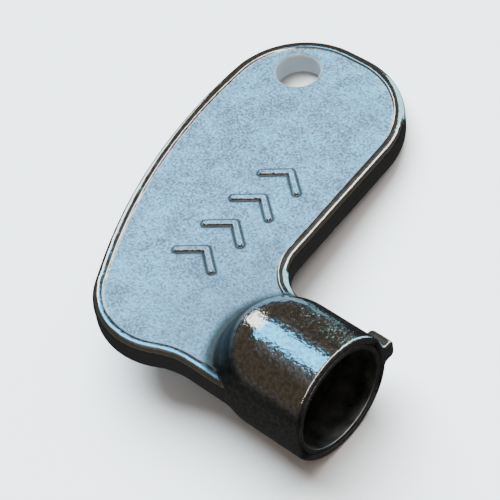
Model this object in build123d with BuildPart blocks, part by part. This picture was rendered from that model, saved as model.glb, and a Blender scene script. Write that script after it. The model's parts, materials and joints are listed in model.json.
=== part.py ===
# Radiator bleed key: a zinc die casting (flat bow and round-ended barrel), a steel liner tube
# pressed into the barrel, and behind it a hardened bush with the square that turns the valve.
#
# Frame: the origin is the centre of the barrel's mouth, +X points out of the mouth along the
# barrel, the bow lies in the XY plane and reaches towards +Y, and +Z is the patterned face's side.
from build123d import *
import math
import os

os.makedirs("parts", exist_ok=True)

# Driving dimensions, millimetres
barrel_radius = 4.75
casting_wall = 0.55
liner_wall = 0.4
dome_centre_x = -4.9        # the straight barrel turns into its round end here
mouth_chamfer = 0.2
seam_chamfer = 0.1          # on both sides of the joint between casting and liner

bow_thickness = 2.2
bow_edge_round = 0.55
neck_half_width = 4.6
neck_end_x = -5.6           # hidden in the barrel's wall
rim_width = 0.95            # from the bow's outline to the sunk field
field_depth = 0.16
dome_foot_round = 1.0

ring_hole_centre = (-22.4, 21.4)
ring_hole_diameter = 3.4
ring_hole_round = 0.3
fit_tolerance = 0.01        # used to pick the hole's edges by size and place

lug_height = 0.9            # beyond the barrel
lug_length = 2.0
lug_thickness = 1.5
lug_corner = 0.6
lug_edge_round = 0.25

chevron_count = 4           # raised grip pattern along the middle of the bow
chevron_pitch = 3.05
chevron_row_centre = (-15.8, 7.8)
chevron_half_height = 1.7
chevron_half_depth = 0.65
chevron_stroke = 0.46
chevron_rise = 0.2

square_across_flats = 5.1   # clearance over a valve's 5 mm square
square_depth = 3.2
square_corner = 0.5
bush_face_x = -4.2          # the liner ends and the bush starts here
bush_lead_in = 0.25

# Derived sizes
pocket_radius = barrel_radius - casting_wall
liner_bore_radius = pocket_radius - liner_wall
bow_bottom_z = -bow_thickness / 2
field_z = bow_thickness / 2 - field_depth

# The bow's outline: each corner, and the radius that rounds it
outline_start = (neck_end_x, neck_half_width)
outline_corners = [
    ((-10.0, neck_half_width), 3.1),      # tight inner corner
    ((-11.95, 25.55), 7.3),               # far end, inner side
    ((-26.7, 25.15), 6.35),               # far end, outer side
    ((-26.45, 8.0), 43.0),                # long outer sweep
    ((-17.75, -7.7), 6.0),                # heel
    ((-11.2, -neck_half_width), 6.0),     # heel to barrel
]
outline_end = (neck_end_x, -neck_half_width)


def bow_outline():
    """Draw the bow's closed outline in the open BuildLine block."""
    points = [outline_start] + [corner for corner, radius in outline_corners] + [outline_end]
    radii = [radius for corner, radius in outline_corners]
    rounded = FilletPolyline(*points, radius=radii)
    Line(rounded @ 1, rounded @ 0)


def round_ended_rod(radius, face_x):
    """Draw half the section of a rod about X: flat at face_x, round beyond the dome's centre."""
    tip = (dome_centre_x - radius, 0)
    shoulder = (dome_centre_x, radius)
    Line(tip, (face_x, 0))
    Line((face_x, 0), (face_x, radius))
    Line((face_x, radius), shoulder)
    RadiusArc(shoulder, tip, -radius)


# Round at the foot of the barrel's end, where it rises from the field
foot_centre_z = field_z + dome_foot_round
foot_centre_r = math.sqrt((barrel_radius + dome_foot_round) ** 2 - foot_centre_z**2)
touch = barrel_radius / (barrel_radius + dome_foot_round)
foot_on_dome = (dome_centre_x - touch * foot_centre_r, touch * foot_centre_z)
foot_on_field = (dome_centre_x - foot_centre_r, field_z)
foot_core_x = dome_centre_x - barrel_radius / 2
with BuildPart() as dome_foot:
    with BuildSketch(Plane.XZ):
        with BuildLine():
            RadiusArc(foot_on_dome, foot_on_field, dome_foot_round)
            Polyline(
                foot_on_field,
                (foot_on_field[0], 0),
                (foot_core_x, 0),
                (foot_core_x, foot_on_dome[1]),
                foot_on_dome,
            )
        make_face()
    revolve(axis=Axis((dome_centre_x, 0, 0), (0, 0, 1)))
    with BuildSketch(Plane.XY):
        with BuildLine():
            bow_outline()
        make_face()
        offset(amount=-bow_edge_round / 2, kind=Kind.ARC)
    extrude(amount=bow_thickness, mode=Mode.INTERSECT)

# Lug at the mouth, in line with the bow
with BuildPart() as mouth_lug:
    with BuildSketch(Plane.XY.offset(-lug_thickness / 2)):
        with BuildLine():
            lug_top = barrel_radius + lug_height
            FilletPolyline(
                (-lug_length, pocket_radius),
                (-lug_length, lug_top),
                (0, lug_top),
                (0, pocket_radius),
                radius=[lug_corner, lug_corner / 2],
            )
            Line((0, pocket_radius), (-lug_length, pocket_radius))
        make_face()
    extrude(amount=lug_thickness)
    lug_faces = mouth_lug.faces().filter_by(Axis.Z)
    lug_edges = lug_faces.edges().filter_by(lambda edge: edge.center().Y > barrel_radius)
    fillet(lug_edges, radius=lug_edge_round)

# Key casting: bow and barrel in one piece, with a round pocket for the two steel pieces
with BuildPart() as key_casting:
    with BuildSketch(Plane.XY.offset(bow_bottom_z)):
        with BuildLine():
            bow_outline()
        make_face()
    extrude(amount=bow_thickness)
    bow_edges = key_casting.edges()
    fillet(bow_edges.group_by(Axis.Z)[0] + bow_edges.group_by(Axis.Z)[-1], radius=bow_edge_round)

    # The sunk field leaves a narrow rim inside the bow's round edge
    with BuildSketch(Plane.XY.offset(field_z)):
        with BuildLine():
            bow_outline()
        make_face()
        offset(amount=-rim_width, kind=Kind.ARC)
        with Locations((neck_end_x, 0)):
            Rectangle(barrel_radius, 2 * (neck_half_width - rim_width))
    extrude(amount=field_depth, mode=Mode.SUBTRACT)

    # Grip chevrons stand on the field
    with BuildSketch(Plane.XY.offset(field_z - field_depth)):
        for index in range(chevron_count):
            apex_x, row_y = chevron_row_centre
            apex_y = row_y + (index - (chevron_count - 1) / 2) * chevron_pitch + chevron_half_depth
            foot_y = apex_y - 2 * chevron_half_depth
            with BuildLine():
                Polyline(
                    (apex_x - chevron_half_height, foot_y),
                    (apex_x, apex_y),
                    (apex_x + chevron_half_height, foot_y),
                )
            trace(line_width=chevron_stroke)
    extrude(amount=field_depth + chevron_rise)

    # Ring hole, rounded at both faces
    with Locations((ring_hole_centre[0], ring_hole_centre[1], field_z)):
        Hole(radius=ring_hole_diameter / 2)
    ring_hole_edges = key_casting.edges().filter_by(
        lambda edge: edge.geom_type == GeomType.CIRCLE
        and abs(edge.radius - ring_hole_diameter / 2) < fit_tolerance
        and abs(edge.arc_center.X - ring_hole_centre[0]) < fit_tolerance
    )
    fillet(ring_hole_edges, radius=ring_hole_round)

    # Barrel with its round closed end
    with BuildSketch(Plane.XZ):
        with BuildLine():
            round_ended_rod(barrel_radius, 0)
        make_face()
    revolve(axis=Axis.X)
    chamfer(key_casting.edges().group_by(Axis.X)[-1], length=mouth_chamfer)
    add(dome_foot.part)
    add(mouth_lug.part)

    # Pocket, its mouth eased where the liner shows
    with BuildSketch(Plane.XZ):
        with BuildLine():
            round_ended_rod(pocket_radius, 0)
        make_face()
    revolve(axis=Axis.X, mode=Mode.SUBTRACT)
    mouth_edges = key_casting.edges().group_by(Axis.X)[-1].filter_by(GeomType.CIRCLE)
    chamfer(mouth_edges.sort_by(SortBy.RADIUS)[0], length=seam_chamfer)
key_casting.part.label = "key_casting"

# Socket liner: steel tube, flush with the mouth
with BuildPart() as socket_liner:
    with BuildSketch(Plane.YZ):
        Circle(pocket_radius)
        Circle(liner_bore_radius, mode=Mode.SUBTRACT)
    extrude(amount=bush_face_x)
    front_edges = socket_liner.edges().group_by(Axis.X)[-1]
    chamfer(front_edges.sort_by(SortBy.RADIUS)[-1], length=seam_chamfer)
socket_liner.part.label = "socket_liner"

# Square drive bush: round-nosed steel bush with the blind square that fits the valve
with BuildPart() as square_drive_bush:
    with BuildSketch(Plane.XZ):
        with BuildLine():
            round_ended_rod(pocket_radius, bush_face_x)
        make_face()
    revolve(axis=Axis.X)
    with BuildSketch(Plane.YZ.offset(bush_face_x)):
        RectangleRounded(square_across_flats, square_across_flats, square_corner)
    extrude(amount=-square_depth, mode=Mode.SUBTRACT)
    square_mouth = square_drive_bush.faces().filter_by(Axis.X).sort_by(Axis.X)[-1].inner_wires()
    chamfer(square_mouth.edges(), length=bush_lead_in)
square_drive_bush.part.label = "square_drive_bush"

export_step(key_casting.part, "parts/key_casting.step")
export_step(socket_liner.part, "parts/socket_liner.step")
export_step(square_drive_bush.part, "parts/square_drive_bush.step")
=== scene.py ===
import json
import math

import bpy
import numpy as np
from mathutils import Matrix, Vector


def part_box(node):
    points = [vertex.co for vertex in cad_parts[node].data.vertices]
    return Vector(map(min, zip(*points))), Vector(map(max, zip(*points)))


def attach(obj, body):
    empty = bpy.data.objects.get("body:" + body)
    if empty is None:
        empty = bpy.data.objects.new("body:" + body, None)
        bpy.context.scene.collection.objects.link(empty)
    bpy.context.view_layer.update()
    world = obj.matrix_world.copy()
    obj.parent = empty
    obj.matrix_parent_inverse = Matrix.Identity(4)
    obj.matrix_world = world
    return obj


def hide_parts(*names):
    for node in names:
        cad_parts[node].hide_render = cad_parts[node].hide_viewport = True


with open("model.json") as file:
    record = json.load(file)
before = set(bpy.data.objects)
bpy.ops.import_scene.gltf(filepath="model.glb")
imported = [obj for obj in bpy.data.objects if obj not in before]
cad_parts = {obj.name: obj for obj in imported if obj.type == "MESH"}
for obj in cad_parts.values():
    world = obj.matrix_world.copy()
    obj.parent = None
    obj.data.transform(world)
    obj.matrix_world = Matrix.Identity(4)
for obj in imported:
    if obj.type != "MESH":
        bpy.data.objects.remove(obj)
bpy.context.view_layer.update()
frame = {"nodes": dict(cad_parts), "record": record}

MM = 0.001


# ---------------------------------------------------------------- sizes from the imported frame
def mount(name):
    return next(m for m in frame["record"]["mounts"] if m["name"] == name)


casting_low, casting_high = (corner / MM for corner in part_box("key_casting"))
liner_low, liner_high = (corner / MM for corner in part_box("socket_liner"))
BARREL_R = casting_high.z
POCKET_R = liner_high.z
LINER_BORE_R = mount("socket_bore")["dims"]["r_mm"]
BUSH_FACE_X = liner_low.x
RING_X, RING_Y = (value / MM for value in mount("ring_hole")["pos_m"][:2])
RING_R = mount("ring_hole")["dims"]["r_mm"]

# Sizes that the frame doesn't state. The outline, thickness, ring hole and chevrons are those of
# the CAD source. The rim, the foot and the lug's edges are shaped more finely here than there.
DOME_X = -4.9               # centre of the barrel's round end
BOW_HALF = 1.1              # half the bow's thickness
EDGE_ROUND = 0.55
NECK_HALF = 4.6
NECK_END_X = -3.0           # the bow's sides run on inside the barrel's wall as far as this
OUTLINE_CORNERS = [         # corner, and the radius that rounds it
    ((-10.0, NECK_HALF), 3.1),
    ((-11.95, 25.55), 7.3),
    ((-26.7, 25.15), 6.35),
    ((-26.45, 8.0), 43.0),
    ((-17.75, -7.7), 6.0),
    ((-11.2, -NECK_HALF), 6.0),
]
FIELD_DEPTH = 0.16
RIM_CREST = 0.7             # from the outline to where the rim starts to fall to the field
RIM_FALL = 0.28
FOOT_ROUND = 0.8            # where the barrel's round end meets the bow's faces
FOOT_FADE = 1.6             # the foot's round grows to that over this much of the bow's width
FOOT_LEAST = 0.15
MOUTH_ROUND = 0.22
SEAM_ROUND = 0.1
RING_ROUND = 0.3
LUG_LENGTH = 2.0
LUG_TOP = 5.65
LUG_HALF_THICKNESS = 0.75
LUG_ROUND = 0.4
LUG_FOOT = 0.25
CHEVRON_ROW = (-15.8, 7.8)
CHEVRON_COUNT = 4
CHEVRON_PITCH = 3.05
CHEVRON_HALF_HEIGHT = 1.7
CHEVRON_HALF_DEPTH = 0.65
CHEVRON_HALF_STROKE = 0.23
CHEVRON_RISE = 0.2
CHEVRON_SKIRT = 0.07        # how far the chevron's sloping side reaches beyond its stroke
CHEVRON_SLOPE = 0.17        # width of that sloping side
LIP_ROUND = 0.1             # the liner's rounded edge

GRID = 0.1                  # spacing of the grid that the casting's surface is found on
SLOPE_STEP = 0.004          # step for measuring the distance field's slope
LEAST_STEEPNESS = 0.04      # keeps a vertex still where the field has almost no slope
FAR_AWAY = 1e9              # a distance larger than any in the key
SAND_LEAST_UP = 0.65        # the sand grain starts where a face's normal has this much Z
SAND_UP_FADE = 0.25
SAND_ON_FALL = 0.6          # share of the rim's fall that the grain fades in over
SAND_GAP = 0.1              # bare metal between the barrel and the grain
SAND_GAP_FADE = 0.3
RING_WALL_DEPTH = 0.03      # how far beyond the ring hole's wall the bare wall's look reaches
RING_WALL_FADE = 0.1
MAX_TRIANGLES = 180_000


# ---------------------------------------------------------------- the casting as a distance field
def outline_pieces():
    """The bow's outline as straight runs and tangent arcs, the bow on their left."""
    far = 50.0              # the neck runs on out of the barrel, and is cut off later
    corners = [Vector(corner) for corner, radius in OUTLINE_CORNERS]
    radii = [radius for corner, radius in OUTLINE_CORNERS]
    points = [Vector((far, NECK_HALF))] + corners + [Vector((far, -NECK_HALF))]
    runs, arcs, start = [], [], points[0]
    for i, radius in enumerate(radii, 1):
        into = (points[i] - points[i - 1]).normalized()
        away = (points[i + 1] - points[i]).normalized()
        turn = into.angle_signed(away) * -1      # positive to the left
        reach = radius * math.tan(abs(turn) / 2)
        side = math.copysign(1, turn)
        arc_start = points[i] - into * reach
        centre = arc_start + Vector((-into.y, into.x)) * radius * side
        middle = (away - into).normalized() * side
        arcs.append((centre, radius, side, (points[i] - centre).normalized(), abs(turn) / 2))
        runs.append((start, arc_start))
        start = points[i] + away * reach
    runs.append((start, points[-1]))
    return runs, arcs


RUNS, ARCS = outline_pieces()


def bow_distance(x, y):
    """Distance outside the bow's outline, negative inside."""
    nearest = np.full(np.broadcast(x, y).shape, FAR_AWAY)
    signed = nearest.copy()

    def keep(distance, value):
        closer = distance < nearest
        nearest[closer] = distance[closer]
        signed[closer] = value[closer]

    for start, end in RUNS:
        length = (end - start).length
        tx, ty = (end - start) / length
        px, py = x - start.x, y - start.y
        along = np.clip(px * tx + py * ty, 0, length)
        distance = np.hypot(px - along * tx, py - along * ty)
        keep(distance, distance * -np.sign(tx * py - ty * px))
    for centre, radius, side, middle, half_turn in ARCS:
        px, py = x - centre.x, y - centre.y
        from_centre = np.hypot(px, py)
        facing = (px * middle.x + py * middle.y) / np.maximum(from_centre, 1e-9)
        value = (from_centre - radius) * side
        keep(np.where(facing >= math.cos(half_turn), np.abs(value), FAR_AWAY), value)
    return signed


def chevron_distance(x, y):
    """Distance from the middle line of the nearest grip chevron."""
    nearest = np.full(np.broadcast(x, y).shape, FAR_AWAY)
    middle_x, middle_y = CHEVRON_ROW
    for index in range(CHEVRON_COUNT):
        row_y = middle_y + (index - (CHEVRON_COUNT - 1) / 2) * CHEVRON_PITCH
        ax, ay = middle_x, row_y + CHEVRON_HALF_DEPTH
        for side in (-1, 1):
            ux, uy = side * CHEVRON_HALF_HEIGHT, -2 * CHEVRON_HALF_DEPTH
            along = np.clip(((x - ax) * ux + (y - ay) * uy) / (ux**2 + uy**2), 0, 1)
            nearest = np.minimum(nearest, np.hypot(x - ax - along * ux, y - ay - along * uy))
    return nearest


def smooth_step(value, start, width):
    """0 below start, 1 beyond start + width, smooth between."""
    t = np.clip((value - start) / width, 0, 1)
    return t * t * (3 - 2 * t)


def round_union(a, b, radius):
    """Distance from two shapes joined with a fillet."""
    blend = np.hypot(np.maximum(radius - a, 0), np.maximum(radius - b, 0))
    return np.maximum(radius, np.minimum(a, b)) - blend


def round_cut(a, b, radius):
    """Distance from what two shapes have in common, its new edge rounded."""
    blend = np.hypot(np.maximum(radius + a, 0), np.maximum(radius + b, 0))
    return np.minimum(-radius, np.maximum(a, b)) + blend


def field_relief(x, y, inside):
    """How far the patterned face lies below the rim's crest."""
    sunk = FIELD_DEPTH * smooth_step(inside, RIM_CREST, RIM_FALL)
    reach = CHEVRON_HALF_STROKE + CHEVRON_SKIRT
    stroke = smooth_step(reach - chevron_distance(x, y), 0, CHEVRON_SLOPE)
    return sunk - CHEVRON_RISE * stroke


def rod_distance(x, y, z, radius):
    """Distance from a rod about X that is round at its closed end and runs on along +X."""
    return np.sqrt(np.minimum(x - DOME_X, 0) ** 2 + y**2 + z**2) - radius


def plate_distance(x, y, z, outline):
    """Distance from the bow: a plate with rounded edges, a raised rim and a ring hole."""
    half = BOW_HALF - np.where(z > 0, field_relief(x, y, -outline), 0)
    across = outline + EDGE_ROUND
    up = np.abs(z) - half + EDGE_ROUND
    plate = np.minimum(np.maximum(across, up), 0) - EDGE_ROUND
    plate = plate + np.hypot(np.maximum(across, 0), np.maximum(up, 0))
    plate = round_cut(plate, RING_R - np.hypot(x - RING_X, y - RING_Y), RING_ROUND)
    return np.maximum(plate, x - NECK_END_X)


def lug_distance(x, y, z):
    """Distance from the rounded block that stands on the barrel beside the mouth."""
    along = -LUG_LENGTH - x + LUG_ROUND
    up = np.abs(y - LUG_TOP / 2) - LUG_TOP / 2 + LUG_ROUND
    across = np.abs(z) - LUG_HALF_THICKNESS + LUG_ROUND
    inner = np.minimum(np.maximum(np.maximum(along, up), across), 0) - LUG_ROUND
    outer = np.maximum(along, 0) ** 2 + np.maximum(up, 0) ** 2 + np.maximum(across, 0) ** 2
    return inner + np.sqrt(outer)


def casting_distance(x, y, z):
    """Distance from the key casting's surface, negative in the metal."""
    outline = bow_distance(x, y)
    bow = plate_distance(x, y, z, outline)
    barrel = round_union(rod_distance(x, y, z, BARREL_R), lug_distance(x, y, z), LUG_FOOT)
    foot = np.maximum(FOOT_LEAST, FOOT_ROUND * smooth_step(-outline, 0, FOOT_FADE))
    solid = round_cut(round_union(bow, barrel, foot), x, MOUTH_ROUND)
    return round_cut(solid, -rod_distance(x, y, z, POCKET_R), SEAM_ROUND)


def gradient(field, points):
    """The field's slope at each point, by central differences."""
    columns = []
    for axis in range(3):
        shift = np.zeros(3)
        shift[axis] = SLOPE_STEP
        ahead, behind = points + shift, points - shift
        columns.append((field(*ahead.T) - field(*behind.T)) / (2 * SLOPE_STEP))
    return np.stack(columns, 1)


def pull_to_surface(field, points, rounds=3):
    """Move points along the field's slope until they lie on its surface."""
    for _ in range(rounds):
        slope = gradient(field, points)
        steepness = np.maximum((slope**2).sum(1), LEAST_STEEPNESS)
        move = (field(*points.T) / steepness)[:, None] * slope
        length = np.linalg.norm(move, axis=1, keepdims=True)
        points = points - move * np.minimum(1, GRID / np.maximum(length, 1e-9))
    return points


def surface_net(field, low, high, step):
    """Vertices and quads of the field's zero surface, one vertex for each cell it crosses."""
    axes = [np.arange(a - 2 * step, b + 3 * step, step) for a, b in zip(low, high)]
    values = field(axes[0][:, None, None], axes[1][None, :, None], axes[2][None, None, :])
    inside = values < 0
    shape = tuple(n - 1 for n in inside.shape)

    def corner(array, offset):
        return array[tuple(slice(o, o + n) for o, n in zip(offset, shape))]

    corners = [(i, j, k) for i in (0, 1) for j in (0, 1) for k in (0, 1)]
    count = sum(corner(inside, offset).astype(np.int8) for offset in corners)
    cells = np.argwhere((count > 0) & (count < 8))
    total = np.zeros((len(cells), 3))
    crossings = np.zeros(len(cells))
    for axis in range(3):
        for offset in corners:
            if offset[axis]:
                continue
            end = list(offset)
            end[axis] = 1
            a = values[tuple((cells + offset).T)]
            b = values[tuple((cells + end).T)]
            crosses = (a < 0) != (b < 0)
            share = np.where(crosses, a / np.where(a == b, 1, a - b), 0)
            place = np.tile(np.array(offset, float), (len(cells), 1))
            place[:, axis] = share
            total += place * crosses[:, None]
            crossings += crosses
    origin = np.array([axis_values[0] for axis_values in axes])
    vertices = origin + (cells + total / crossings[:, None]) * step

    number = np.full(shape, -1, np.int64)
    number[tuple(cells.T)] = np.arange(len(cells))
    quads = []
    for axis in range(3):
        first, second = (axis + 1) % 3, (axis + 2) % 3
        lower = np.take(inside, range(inside.shape[axis] - 1), axis)
        upper = np.take(inside, range(1, inside.shape[axis]), axis)
        edges = np.argwhere(lower != upper)
        leaving = lower[tuple(edges.T)]          # the metal is on the lower side
        ring = []
        for u, v in ((0, 0), (1, 0), (1, 1), (0, 1)):
            cell = edges.copy()
            cell[:, first] -= u
            cell[:, second] -= v
            ring.append(number[tuple(cell.T)])
        quad = np.stack(ring, 1)
        quad[leaving] = quad[leaving][:, ::-1]
        quads.append(quad[:, ::-1])
    return vertices, np.concatenate(quads)


# ---------------------------------------------------------------- meshes
def build_mesh(name, vertices, faces):
    """A mesh object from millimetre vertices."""
    mesh = bpy.data.meshes.new(name)
    mesh.from_pydata((vertices * MM).tolist(), [], faces.tolist())
    mesh.validate()
    piece = bpy.data.objects.new(name, mesh)
    bpy.context.scene.collection.objects.link(piece)
    return piece


def vertex_array(mesh):
    """The mesh's vertices in millimetres."""
    places = np.empty(len(mesh.vertices) * 3)
    mesh.vertices.foreach_get("co", places)
    return places.reshape(-1, 3) / MM


def thin_out(piece, triangles):
    """Replace the piece's mesh with one of about so many triangles."""
    mesh = piece.data
    mesh.calc_loop_triangles()
    modifier = piece.modifiers.new("thin", "DECIMATE")
    modifier.ratio = min(1, triangles / len(mesh.loop_triangles))
    evaluated = piece.evaluated_get(bpy.context.evaluated_depsgraph_get())
    thinned = bpy.data.meshes.new_from_object(evaluated)
    piece.modifiers.clear()
    piece.data = thinned


def finish_surface(piece, field):
    """Put each vertex on the field's surface, with the field's own normals."""
    mesh = piece.data
    points = pull_to_surface(field, vertex_array(mesh))
    mesh.vertices.foreach_set("co", (points * MM).ravel())
    slope = gradient(field, points)
    normals = slope / np.maximum(np.linalg.norm(slope, axis=1, keepdims=True), 1e-9)
    mesh.shade_smooth()
    mesh.normals_split_custom_set_from_vertices(normals.tolist())
    mesh.update()
    return points, normals


def add_mask(mesh, name, values):
    """One number for each vertex, which a material reads by name."""
    attribute = mesh.attributes.new(name, "FLOAT", "POINT")
    attribute.data.foreach_set("value", np.asarray(values, float))


def revolve(name, profile, segments=192):
    """A closed ring about X from (x, radius) points."""
    angles = np.linspace(0, 2 * math.pi, segments, endpoint=False)
    rows = len(profile)
    vertices = np.array(
        [(x, r * math.cos(a), r * math.sin(a)) for a in angles for x, r in profile]
    )
    faces = []
    for i in range(segments):
        for j in range(rows):
            here, beyond = i * rows, (i + 1) % segments * rows
            following = (j + 1) % rows
            faces.append((here + j, here + following, beyond + following, beyond + j))
    piece = build_mesh(name, vertices, np.array(faces))
    piece.data.shade_smooth()
    return piece


def sand_mask(x, y, inside, from_barrel, up):
    """1 on the bow's sand-grained faces and in the ring hole, 0 on the polished metal."""
    flat = smooth_step(np.abs(up), SAND_LEAST_UP, SAND_UP_FADE)
    field = smooth_step(inside, RIM_CREST + (1 - SAND_ON_FALL) * RIM_FALL, SAND_ON_FALL * RIM_FALL)
    clear = smooth_step(from_barrel, SAND_GAP, SAND_GAP_FADE)
    from_ring_wall = np.abs(np.hypot(x - RING_X, y - RING_Y) - RING_R)
    ring_wall = 1 - smooth_step(from_ring_wall, RING_WALL_DEPTH, RING_WALL_FADE)
    return np.maximum(field * flat * clear, ring_wall)


def make_casting():
    vertices, quads = surface_net(casting_distance, casting_low, casting_high, GRID)
    vertices = pull_to_surface(casting_distance, vertices)
    piece = build_mesh("key_body", vertices, quads)
    thin_out(piece, MAX_TRIANGLES)
    points, normals = finish_surface(piece, casting_distance)
    x, y, z = points.T
    inside = -bow_distance(x, y)
    from_barrel = rod_distance(x, y, z, BARREL_R)
    add_mask(piece.data, "grain", sand_mask(x, y, inside, from_barrel, normals[:, 2]))
    add_mask(piece.data, "bow", smooth_step(inside, 0, RIM_CREST))
    return piece


def rounded_corner(x, r, toward_x, toward_r, radius, steps=5):
    """Points of a round at the corner (x, r), between its two straight sides."""
    centre_x, centre_r = x + toward_x * radius, r + toward_r * radius
    points = []
    for i in range(steps + 1):
        angle = math.pi / 2 * i / steps
        points.append((centre_x - toward_x * radius * math.cos(angle),
                       centre_r - toward_r * radius * math.sin(angle)))
    return points


def make_liner():
    profile = rounded_corner(0, LINER_BORE_R, -1, 1, LIP_ROUND)[::-1]
    profile += rounded_corner(0, POCKET_R, -1, -1, LIP_ROUND)
    profile += [(BUSH_FACE_X, POCKET_R), (BUSH_FACE_X, LINER_BORE_R)]
    return revolve("liner_tube", profile)


# ---------------------------------------------------------------- materials
POLISH_DULL = (0.52, 0.50, 0.48, 1)
POLISH_CLEAN = (0.86, 0.85, 0.83, 1)
POLISH_EVEN = (0.76, 0.75, 0.74, 1)
# The sand colours are the grain's grey and pits, tinted blue: the blue is a painted reflection of
# bluish sky light
SAND_PIT = (0.07, 0.125, 0.16, 1)
SAND_GREY = (0.295, 0.445, 0.58, 1)
SAND_PAINTED_SKY_BLUE = (0.225, 0.47, 0.64, 1)
SAND_NEAR_BARREL = (0.10, 0.13, 0.165, 1)
# Painted reflection: the ring hole's shaded wall is pale, standing in for the bright table it
# would mirror
RING_WALL_PAINTED_BRIGHT = (0.68, 0.72, 0.75, 1)
# Painted shade: the near-black laid over the chevrons' flanks and the barrel's foot, its share,
# and the roughness it brings
PAINTED_SHADE_COLOUR = (0.028, 0.032, 0.032, 1)
PAINTED_SHADE_COVER = 0.94
PAINTED_SHADE_ROUGHNESS = 0.6
RING_WALL_EDGE = (0.15, 0.05)       # beyond the ring hole's wall: none of its look, all of it
SAND_TONE_SHARES = (0.55, 0.25, 0.2)    # of grain, mottle and cloud
BARREL_EDGE = (0.5, 0.1)            # from the barrel: even plate, the barrel's speckled plate
# The sand darkens toward the barrel: by this share at the barrel, none beyond this reach
NEAR_BARREL_REACH = 11.0        # from the barrel, in millimetres
NEAR_BARREL_COVER = 0.4
# Painted shade round the foot of the barrel's round end, where it meets the bow
FOOT_SHADE_SPREAD = (1.3, 0.55)      # from the barrel: none beyond the first, full by the second
FOOT_SHADE_HEIGHT = (3.1, 1.9)       # likewise up the barrel's round end
FOOT_SHADE_RISE = 0.45               # how much higher it reaches for each millimetre behind
# Painted shade along each chevron's flanks and foot: a band between these distances
CHEVRON_SHADE_OUTER = (0.52, 0.34)   # from the chevron's middle line
CHEVRON_SHADE_INNER = (0.18, 0.30)
TUBE_COLOURS = (0.34, 0.34, 0.34, 1), (0.5, 0.5, 0.49, 1)
BUSH_COLOURS = (0.1, 0.1, 0.105, 1), (0.2, 0.195, 0.19, 1)
TABLE_COLOUR = (0.92, 0.83, 0.79, 1)


class Nodes:
    """A short way to write a material's node tree."""

    def __init__(self, name):
        self.material = bpy.data.materials.new(name)
        self.material.use_nodes = True
        self.tree = self.material.node_tree
        self.shader = self.tree.nodes["Principled BSDF"]

    def add(self, kind, inputs=None, **settings):
        node = self.tree.nodes.new(kind)
        for key, value in settings.items():
            setattr(node, key, value)
        for key, value in (inputs or {}).items():
            self.put(node.inputs[key], value)
        return node

    def put(self, socket, value):
        if isinstance(value, bpy.types.NodeSocket):
            self.tree.links.new(value, socket)
        else:
            socket.default_value = value

    def math(self, operation, *values, clamp=False):
        node = self.add("ShaderNodeMath", operation=operation, use_clamp=clamp)
        for socket, value in zip(node.inputs, values):
            self.put(socket, value)
        return node.outputs[0]

    def noise(self, per_mm, detail=2.0, roughness=0.5):
        """Noise with so many features to the millimetre, about the object's own origin."""
        place = self.add("ShaderNodeTexCoord").outputs["Object"]
        node = self.add(
            "ShaderNodeTexNoise",
            {"Vector": place, "Scale": per_mm / MM, "Detail": detail, "Roughness": roughness},
        )
        return node.outputs["Fac"]

    def span(self, value, low, high, to_low=0.0, to_high=1.0):
        """Map low to high onto to_low to to_high."""
        node = self.add(
            "ShaderNodeMapRange",
            {
                "Value": value,
                "From Min": low,
                "From Max": high,
                "To Min": to_low,
                "To Max": to_high,
            },
        )
        return node.outputs["Result"]

    def place(self):
        """The object's own X, Y and Z in millimetres."""
        metres = self.add("ShaderNodeTexCoord").outputs["Object"]
        scaled = self.add("ShaderNodeVectorMath", operation="SCALE")
        self.put(scaled.inputs["Vector"], metres)
        self.put(scaled.inputs["Scale"], 1 / MM)
        split = self.add("ShaderNodeSeparateXYZ", {"Vector": scaled.outputs["Vector"]})
        return split.outputs["X"], split.outputs["Y"], split.outputs["Z"]

    def length(self, *sides):
        """Square root of the sum of the squares."""
        total = self.math("POWER", sides[0], 2)
        for side in sides[1:]:
            total = self.math("ADD", total, self.math("POWER", side, 2))
        return self.math("SQRT", total)

    def smooth(self, value, low, high):
        """0 at low, 1 at high, smooth between. Low may be the larger of the two."""
        node = self.add(
            "ShaderNodeMapRange",
            {"Value": value, "From Min": low, "From Max": high},
            interpolation_type="SMOOTHSTEP",
        )
        return node.outputs["Result"]

    def mix(self, share, a, b, kind="RGBA"):
        node = self.add("ShaderNodeMix", data_type=kind)
        self.put(node.inputs["Factor"], share)
        self.put(node.inputs["A"], a)
        self.put(node.inputs["B"], b)
        return node.outputs["Result"]

    def mask(self, name):
        return self.add("ShaderNodeAttribute", attribute_name=name).outputs["Fac"]

    def bump(self, height, distance_mm, strength=1.0, normal=None):
        node = self.add("ShaderNodeBump", {"Height": height, "Distance": distance_mm * MM})
        self.put(node.inputs["Strength"], strength)
        if normal is not None:
            self.put(node.inputs["Normal"], normal)
        return node.outputs["Normal"]


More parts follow.
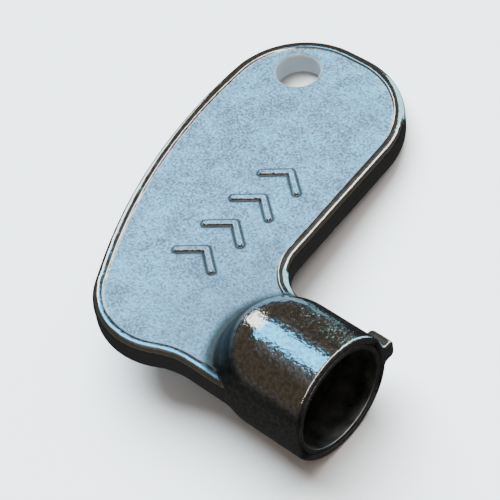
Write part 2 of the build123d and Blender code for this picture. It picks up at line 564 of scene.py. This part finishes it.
def chevron_painted_shade(n, x, y, z):
    """Nodes for the painted shade along the flanks and foot of each grip chevron."""
    first_y = CHEVRON_ROW[1] - (CHEVRON_COUNT - 1) / 2 * CHEVRON_PITCH
    from_first = n.math("SUBTRACT", y, first_y)
    row = n.math("ROUND", n.math("DIVIDE", from_first, CHEVRON_PITCH))
    row = n.math("MINIMUM", n.math("MAXIMUM", row, 0.0), CHEVRON_COUNT - 1.0)
    apex = n.math("ADD", n.math("MULTIPLY", row, CHEVRON_PITCH), CHEVRON_HALF_DEPTH)
    down = n.math("SUBTRACT", apex, from_first)
    across = n.math("ABSOLUTE", n.math("SUBTRACT", x, CHEVRON_ROW[0]))
    arm_x, arm_y = CHEVRON_HALF_HEIGHT, 2 * CHEVRON_HALF_DEPTH
    along = n.math("ADD", n.math("MULTIPLY", across, arm_x), n.math("MULTIPLY", down, arm_y))
    along = n.math("DIVIDE", along, arm_x**2 + arm_y**2, clamp=True)
    from_line = n.length(
        n.math("SUBTRACT", across, n.math("MULTIPLY", along, arm_x)),
        n.math("SUBTRACT", down, n.math("MULTIPLY", along, arm_y)),
    )
    outer = n.smooth(from_line, *CHEVRON_SHADE_OUTER)
    inner = n.smooth(from_line, *CHEVRON_SHADE_INNER)
    return n.math("MULTIPLY", n.math("MULTIPLY", outer, inner), n.smooth(z, 0.0, 0.5))


def barrel_nodes(n, x, y, z):
    """Nodes for the depth behind the round end's centre and the distance from the barrel."""
    behind = n.math("MINIMUM", n.math("SUBTRACT", x, DOME_X), 0.0)
    return behind, n.math("SUBTRACT", n.length(behind, y, z), BARREL_R)


def foot_painted_shade(n, behind, from_barrel, z):
    """Nodes for the painted shade: a dull dark ring where the barrel's round end meets the bow."""
    near = n.smooth(from_barrel, *FOOT_SHADE_SPREAD)
    rise = n.math("MULTIPLY", behind, -FOOT_SHADE_RISE)
    low = n.smooth(n.math("SUBTRACT", n.math("ABSOLUTE", z), rise), *FOOT_SHADE_HEIGHT)
    return n.math("MULTIPLY", n.math("MULTIPLY", near, low), n.mask("bow"))


def sand_colour(n, x, y, from_barrel, grain, mottle, cloud):
    """Nodes for the bow's matt face: pitted grey tinted with a painted blue sky reflection, darker
    toward the barrel.
    """
    grain_part, mottle_part, cloud_part = (
        n.math("MULTIPLY", noise, share)
        for noise, share in zip((grain, mottle, cloud), SAND_TONE_SHARES)
    )
    tone = n.math("ADD", n.math("ADD", grain_part, mottle_part), cloud_part)
    # The blue in these tones is a painted sky reflection
    light = n.mix(n.span(cloud, low=0.35, high=0.65), SAND_GREY, SAND_PAINTED_SKY_BLUE)
    sand = n.mix(n.span(tone, low=0.40, high=0.62), SAND_PIT, light)
    near_barrel = n.math("MULTIPLY", n.smooth(from_barrel, NEAR_BARREL_REACH, 0.0), NEAR_BARREL_COVER)
    sand = n.mix(near_barrel, sand, SAND_NEAR_BARREL)
    from_centre = n.length(n.math("SUBTRACT", x, RING_X), n.math("SUBTRACT", y, RING_Y))
    from_ring = n.math("SUBTRACT", from_centre, RING_R)
    # The ring hole's wall takes the pale colour of the painted reflection
    return n.mix(n.smooth(from_ring, *RING_WALL_EDGE), sand, RING_WALL_PAINTED_BRIGHT)


def plated_zinc():
    """Nickel plate: sand grain on the bow's faces, polished on the rim and barrel."""
    n = Nodes("plated_zinc")
    x, y, z = n.place()
    grain_mask = n.mask("grain")
    grain = n.noise(per_mm=5.4, detail=1.5, roughness=0.6)
    mottle = n.noise(per_mm=2.6, detail=3.0, roughness=0.6)
    cloud = n.noise(per_mm=0.6, detail=3.0)
    ripple = n.noise(per_mm=0.7, detail=1.0)
    speckle = n.noise(per_mm=3.6, detail=2.0)
    behind, from_barrel = barrel_nodes(n, x, y, z)
    on_barrel = n.smooth(from_barrel, *BARREL_EDGE)

    speckled = n.mix(n.span(speckle, low=0.36, high=0.62), POLISH_DULL, POLISH_CLEAN)
    share = n.span(on_barrel, 0.0, 1.0, to_low=0.25, to_high=0.9)
    polished = n.mix(share, POLISH_EVEN, speckled)
    sand = sand_colour(n, x, y, from_barrel, grain, mottle, cloud)
    plate = n.mix(grain_mask, polished, sand)
    # Painted shade over the chevrons' flanks and the barrel's foot darkens the plate's colour here
    painted_shade = n.math("MAXIMUM", chevron_painted_shade(n, x, y, z), foot_painted_shade(n, behind, from_barrel, z))
    painted_shade = n.math("MULTIPLY", painted_shade, PAINTED_SHADE_COVER)
    n.put(n.shader.inputs["Base Color"], n.mix(painted_shade, plate, PAINTED_SHADE_COLOUR))
    metal = n.span(grain_mask, 0.0, 1.0, to_low=1.0, to_high=0.55)
    n.put(n.shader.inputs["Metallic"], metal)

    smooth = n.span(mottle, low=0.35, high=0.65, to_low=0.06, to_high=0.17)
    sanded = n.span(grain, low=0.35, high=0.65, to_low=0.42, to_high=0.6)
    rough = n.mix(grain_mask, smooth, sanded, kind="FLOAT")
    rough = n.math("MAXIMUM", rough, n.math("MULTIPLY", painted_shade, PAINTED_SHADE_ROUGHNESS))
    n.put(n.shader.inputs["Roughness"], rough)

    polish = n.span(on_barrel, 0.0, 1.0, to_low=0.35, to_high=1.0)
    polish = n.math("MULTIPLY", polish, n.math("SUBTRACT", 1.0, grain_mask))
    peel = n.bump(ripple, distance_mm=0.05)
    fine = n.bump(speckle, distance_mm=0.028, strength=polish, normal=peel)
    sandy = n.bump(grain, distance_mm=0.055, strength=grain_mask, normal=fine)
    n.put(n.shader.inputs["Normal"], sandy)
    return n.material


def steel(name, colours, per_mm, detail, roughness, pit_per_mm):
    """Bare steel whose colour and roughness vary together, with fine pits."""
    n = Nodes(name)
    tone = n.noise(per_mm, detail=detail)
    n.put(n.shader.inputs["Base Color"], n.mix(n.span(tone, low=0.3, high=0.7), *colours))
    n.shader.inputs["Metallic"].default_value = 1.0
    n.put(n.shader.inputs["Roughness"], n.span(tone, 0.3, 0.7, *roughness))
    pits = n.noise(pit_per_mm, detail=3.0)
    n.put(n.shader.inputs["Normal"], n.bump(pits, distance_mm=0.01))
    return n.material


def drawn_steel():
    return steel("drawn_steel", TUBE_COLOURS, 0.8, 4.0, roughness=(0.25, 0.42), pit_per_mm=5.0)


def hardened_steel():
    return steel("hardened_steel", BUSH_COLOURS, 1.5, 5.0, roughness=(0.3, 0.5), pit_per_mm=6.0)


def dress(piece, material):
    piece.data.materials.clear()
    piece.data.materials.append(material)


# ---------------------------------------------------------------- stage, light and camera
KEY_MIDDLE = Vector((-13, 9, 0))
FLOOR_HALF = 6000.0
SOFTBOX_DISTANCE = 300.0
SOFTBOXES = [               # name, toward, along, size, brightness, colour
    ("window", (-0.50, 0.04, 0.865), (1, 0, 0.6), (150, 195), 3.2, (0.07, 0.57, 1.0)),
    ("shoulder_card", (-0.87, 0.22, 0.40), (0.23, -0.22, 0.70), (75, 230), 3.4, (0.93, 1, 1)),
    ("far_card", (-0.09, 0.97, 0.22), (0.0, -0.22, 0.97), (170, 390), 2.0, (0.42, 0.86, 1.0)),
    ("bead_strip", (0.24, 0.50, 0.83), (0.0, 0.86, -0.51), (80, 330), 3.2, (1, 1, 1)),
    ("near_strip", (0.46, -0.30, 0.83), (-0.08, 0.72, 0.68), (60, 420), 3.5, (1.0, 0.97, 0.92)),
]
DAYLIGHT_FROM = Vector((-120, 60, 260))
DAYLIGHT_STRENGTH = 16.0
DAYLIGHT_ANGLE = 1.0
DAYLIGHT_COLOUR = (0.74, 0.91, 1.0)
ROOM_FLOOR = (0.03, 0.03, 0.03, 1)
ROOM_CEILING = (0.22, 0.24, 0.26, 1)
ROOM_BANDS = [              # the Z of a view direction, and the room's colour there
    (0.03, (0.15, 0.155, 0.15, 1)),
    (0.15, (0.075, 0.063, 0.047, 1)),
    (0.70, (0.075, 0.063, 0.047, 1)),
]
CAMERA_PLACE = Vector((63.14, -59.48, 115.06))
CAMERA_LINE = Vector((-0.5024, 0.4288, -0.7508))
CAMERA_UP = Vector((-0.4497, 0.6121, 0.6505))
CAMERA_LENS = 154.5


def plain_material(name, colour, roughness):
    n = Nodes(name)
    n.shader.inputs["Base Color"].default_value = colour
    n.shader.inputs["Roughness"].default_value = roughness
    return n.material


def make_floor():
    """The surface the key lies on: it touches the barrel and the bow's far edge."""
    far_y = casting_high.y - EDGE_ROUND
    far_z = EDGE_ROUND - BOW_HALF
    tilt = math.asin((BARREL_R - EDGE_ROUND) / math.hypot(far_y, far_z)) + math.atan2(far_z, far_y)
    corners = np.array([(-1, -1, 0), (1, -1, 0), (1, 1, 0), (-1, 1, 0)]) * FLOOR_HALF
    floor = build_mesh("table_top", corners, np.array([(0, 1, 2, 3)]))
    up = Vector((0, -math.sin(tilt), math.cos(tilt)))
    floor.matrix_world = Matrix.Translation(-up * BARREL_R * MM) @ Matrix.Rotation(tilt, 4, "X")
    dress(floor, plain_material("pale_table", TABLE_COLOUR, 0.6))
    floor.visible_glossy = False


def aim(thing, place, target, up=None):
    """Put a camera or light at place, facing target, both in millimetres."""
    back = (place - target).normalized()
    up = up or Vector((0, 0, 1))
    right = up.cross(back).normalized()
    true_up = back.cross(right)
    turn = Matrix((right, true_up, back)).transposed().to_4x4()
    thing.matrix_world = Matrix.Translation(place * MM) @ turn


def make_softbox(name, toward, along, size, brightness, colour):
    """A rectangular light that lies toward a direction from the key, with its length along."""
    data = bpy.data.lights.new(name, "AREA")
    data.shape = "RECTANGLE"
    data.size, data.size_y = size[0] * MM, size[1] * MM
    data.energy = brightness * math.pi * data.size * data.size_y
    data.color = colour
    light = bpy.data.objects.new(name, data)
    bpy.context.scene.collection.objects.link(light)
    place = KEY_MIDDLE + Vector(toward).normalized() * SOFTBOX_DISTANCE
    aim(light, place, KEY_MIDDLE, up=Vector(along))


def make_daylight():
    """Wide soft daylight for the table and the matt field. The polish doesn't mirror it."""
    data = bpy.data.lights.new("daylight", "SUN")
    data.energy = DAYLIGHT_STRENGTH
    data.angle = DAYLIGHT_ANGLE
    data.color = DAYLIGHT_COLOUR
    light = bpy.data.objects.new("daylight", data)
    bpy.context.scene.collection.objects.link(light)
    aim(light, DAYLIGHT_FROM, Vector((0, 0, 0)))
    light.visible_glossy = False


def make_world():
    """The dark room that the polish mirrors between the lights."""
    world = bpy.data.worlds.new("studio")
    bpy.context.scene.world = world
    world.use_nodes = True
    tree = world.node_tree
    place = tree.nodes.new("ShaderNodeTexCoord").outputs["Generated"]
    split = tree.nodes.new("ShaderNodeSeparateXYZ")
    tree.links.new(place, split.inputs[0])
    ramp = tree.nodes.new("ShaderNodeValToRGB")
    tree.links.new(split.outputs["Z"], ramp.inputs["Fac"])
    ramp.color_ramp.elements[0].position = 0.0
    ramp.color_ramp.elements[0].color = ROOM_FLOOR
    ramp.color_ramp.elements[1].position = 1.0
    ramp.color_ramp.elements[1].color = ROOM_CEILING
    for position, colour in ROOM_BANDS:
        ramp.color_ramp.elements.new(position).color = colour
    tree.links.new(ramp.outputs["Color"], tree.nodes["Background"].inputs["Color"])
    tree.nodes["Background"].inputs["Strength"].default_value = 1.0


def make_camera():
    data = bpy.data.cameras.new("camera")
    data.sensor_width = 36
    data.lens = CAMERA_LENS
    data.clip_start = 0.01
    camera = bpy.data.objects.new("camera", data)
    bpy.context.scene.collection.objects.link(camera)
    aim(camera, CAMERA_PLACE, CAMERA_PLACE + CAMERA_LINE, up=CAMERA_UP)
    bpy.context.scene.camera = camera


# ---------------------------------------------------------------- the scene
body = make_casting()
dress(body, plated_zinc())
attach(body, "root")
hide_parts("key_casting")

liner = make_liner()
dress(liner, drawn_steel())
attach(liner, "root")
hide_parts("socket_liner")

dress(frame["nodes"]["square_drive_bush"], hardened_steel())

make_floor()
make_world()
for softbox in SOFTBOXES:
    make_softbox(*softbox)
make_daylight()
make_camera()
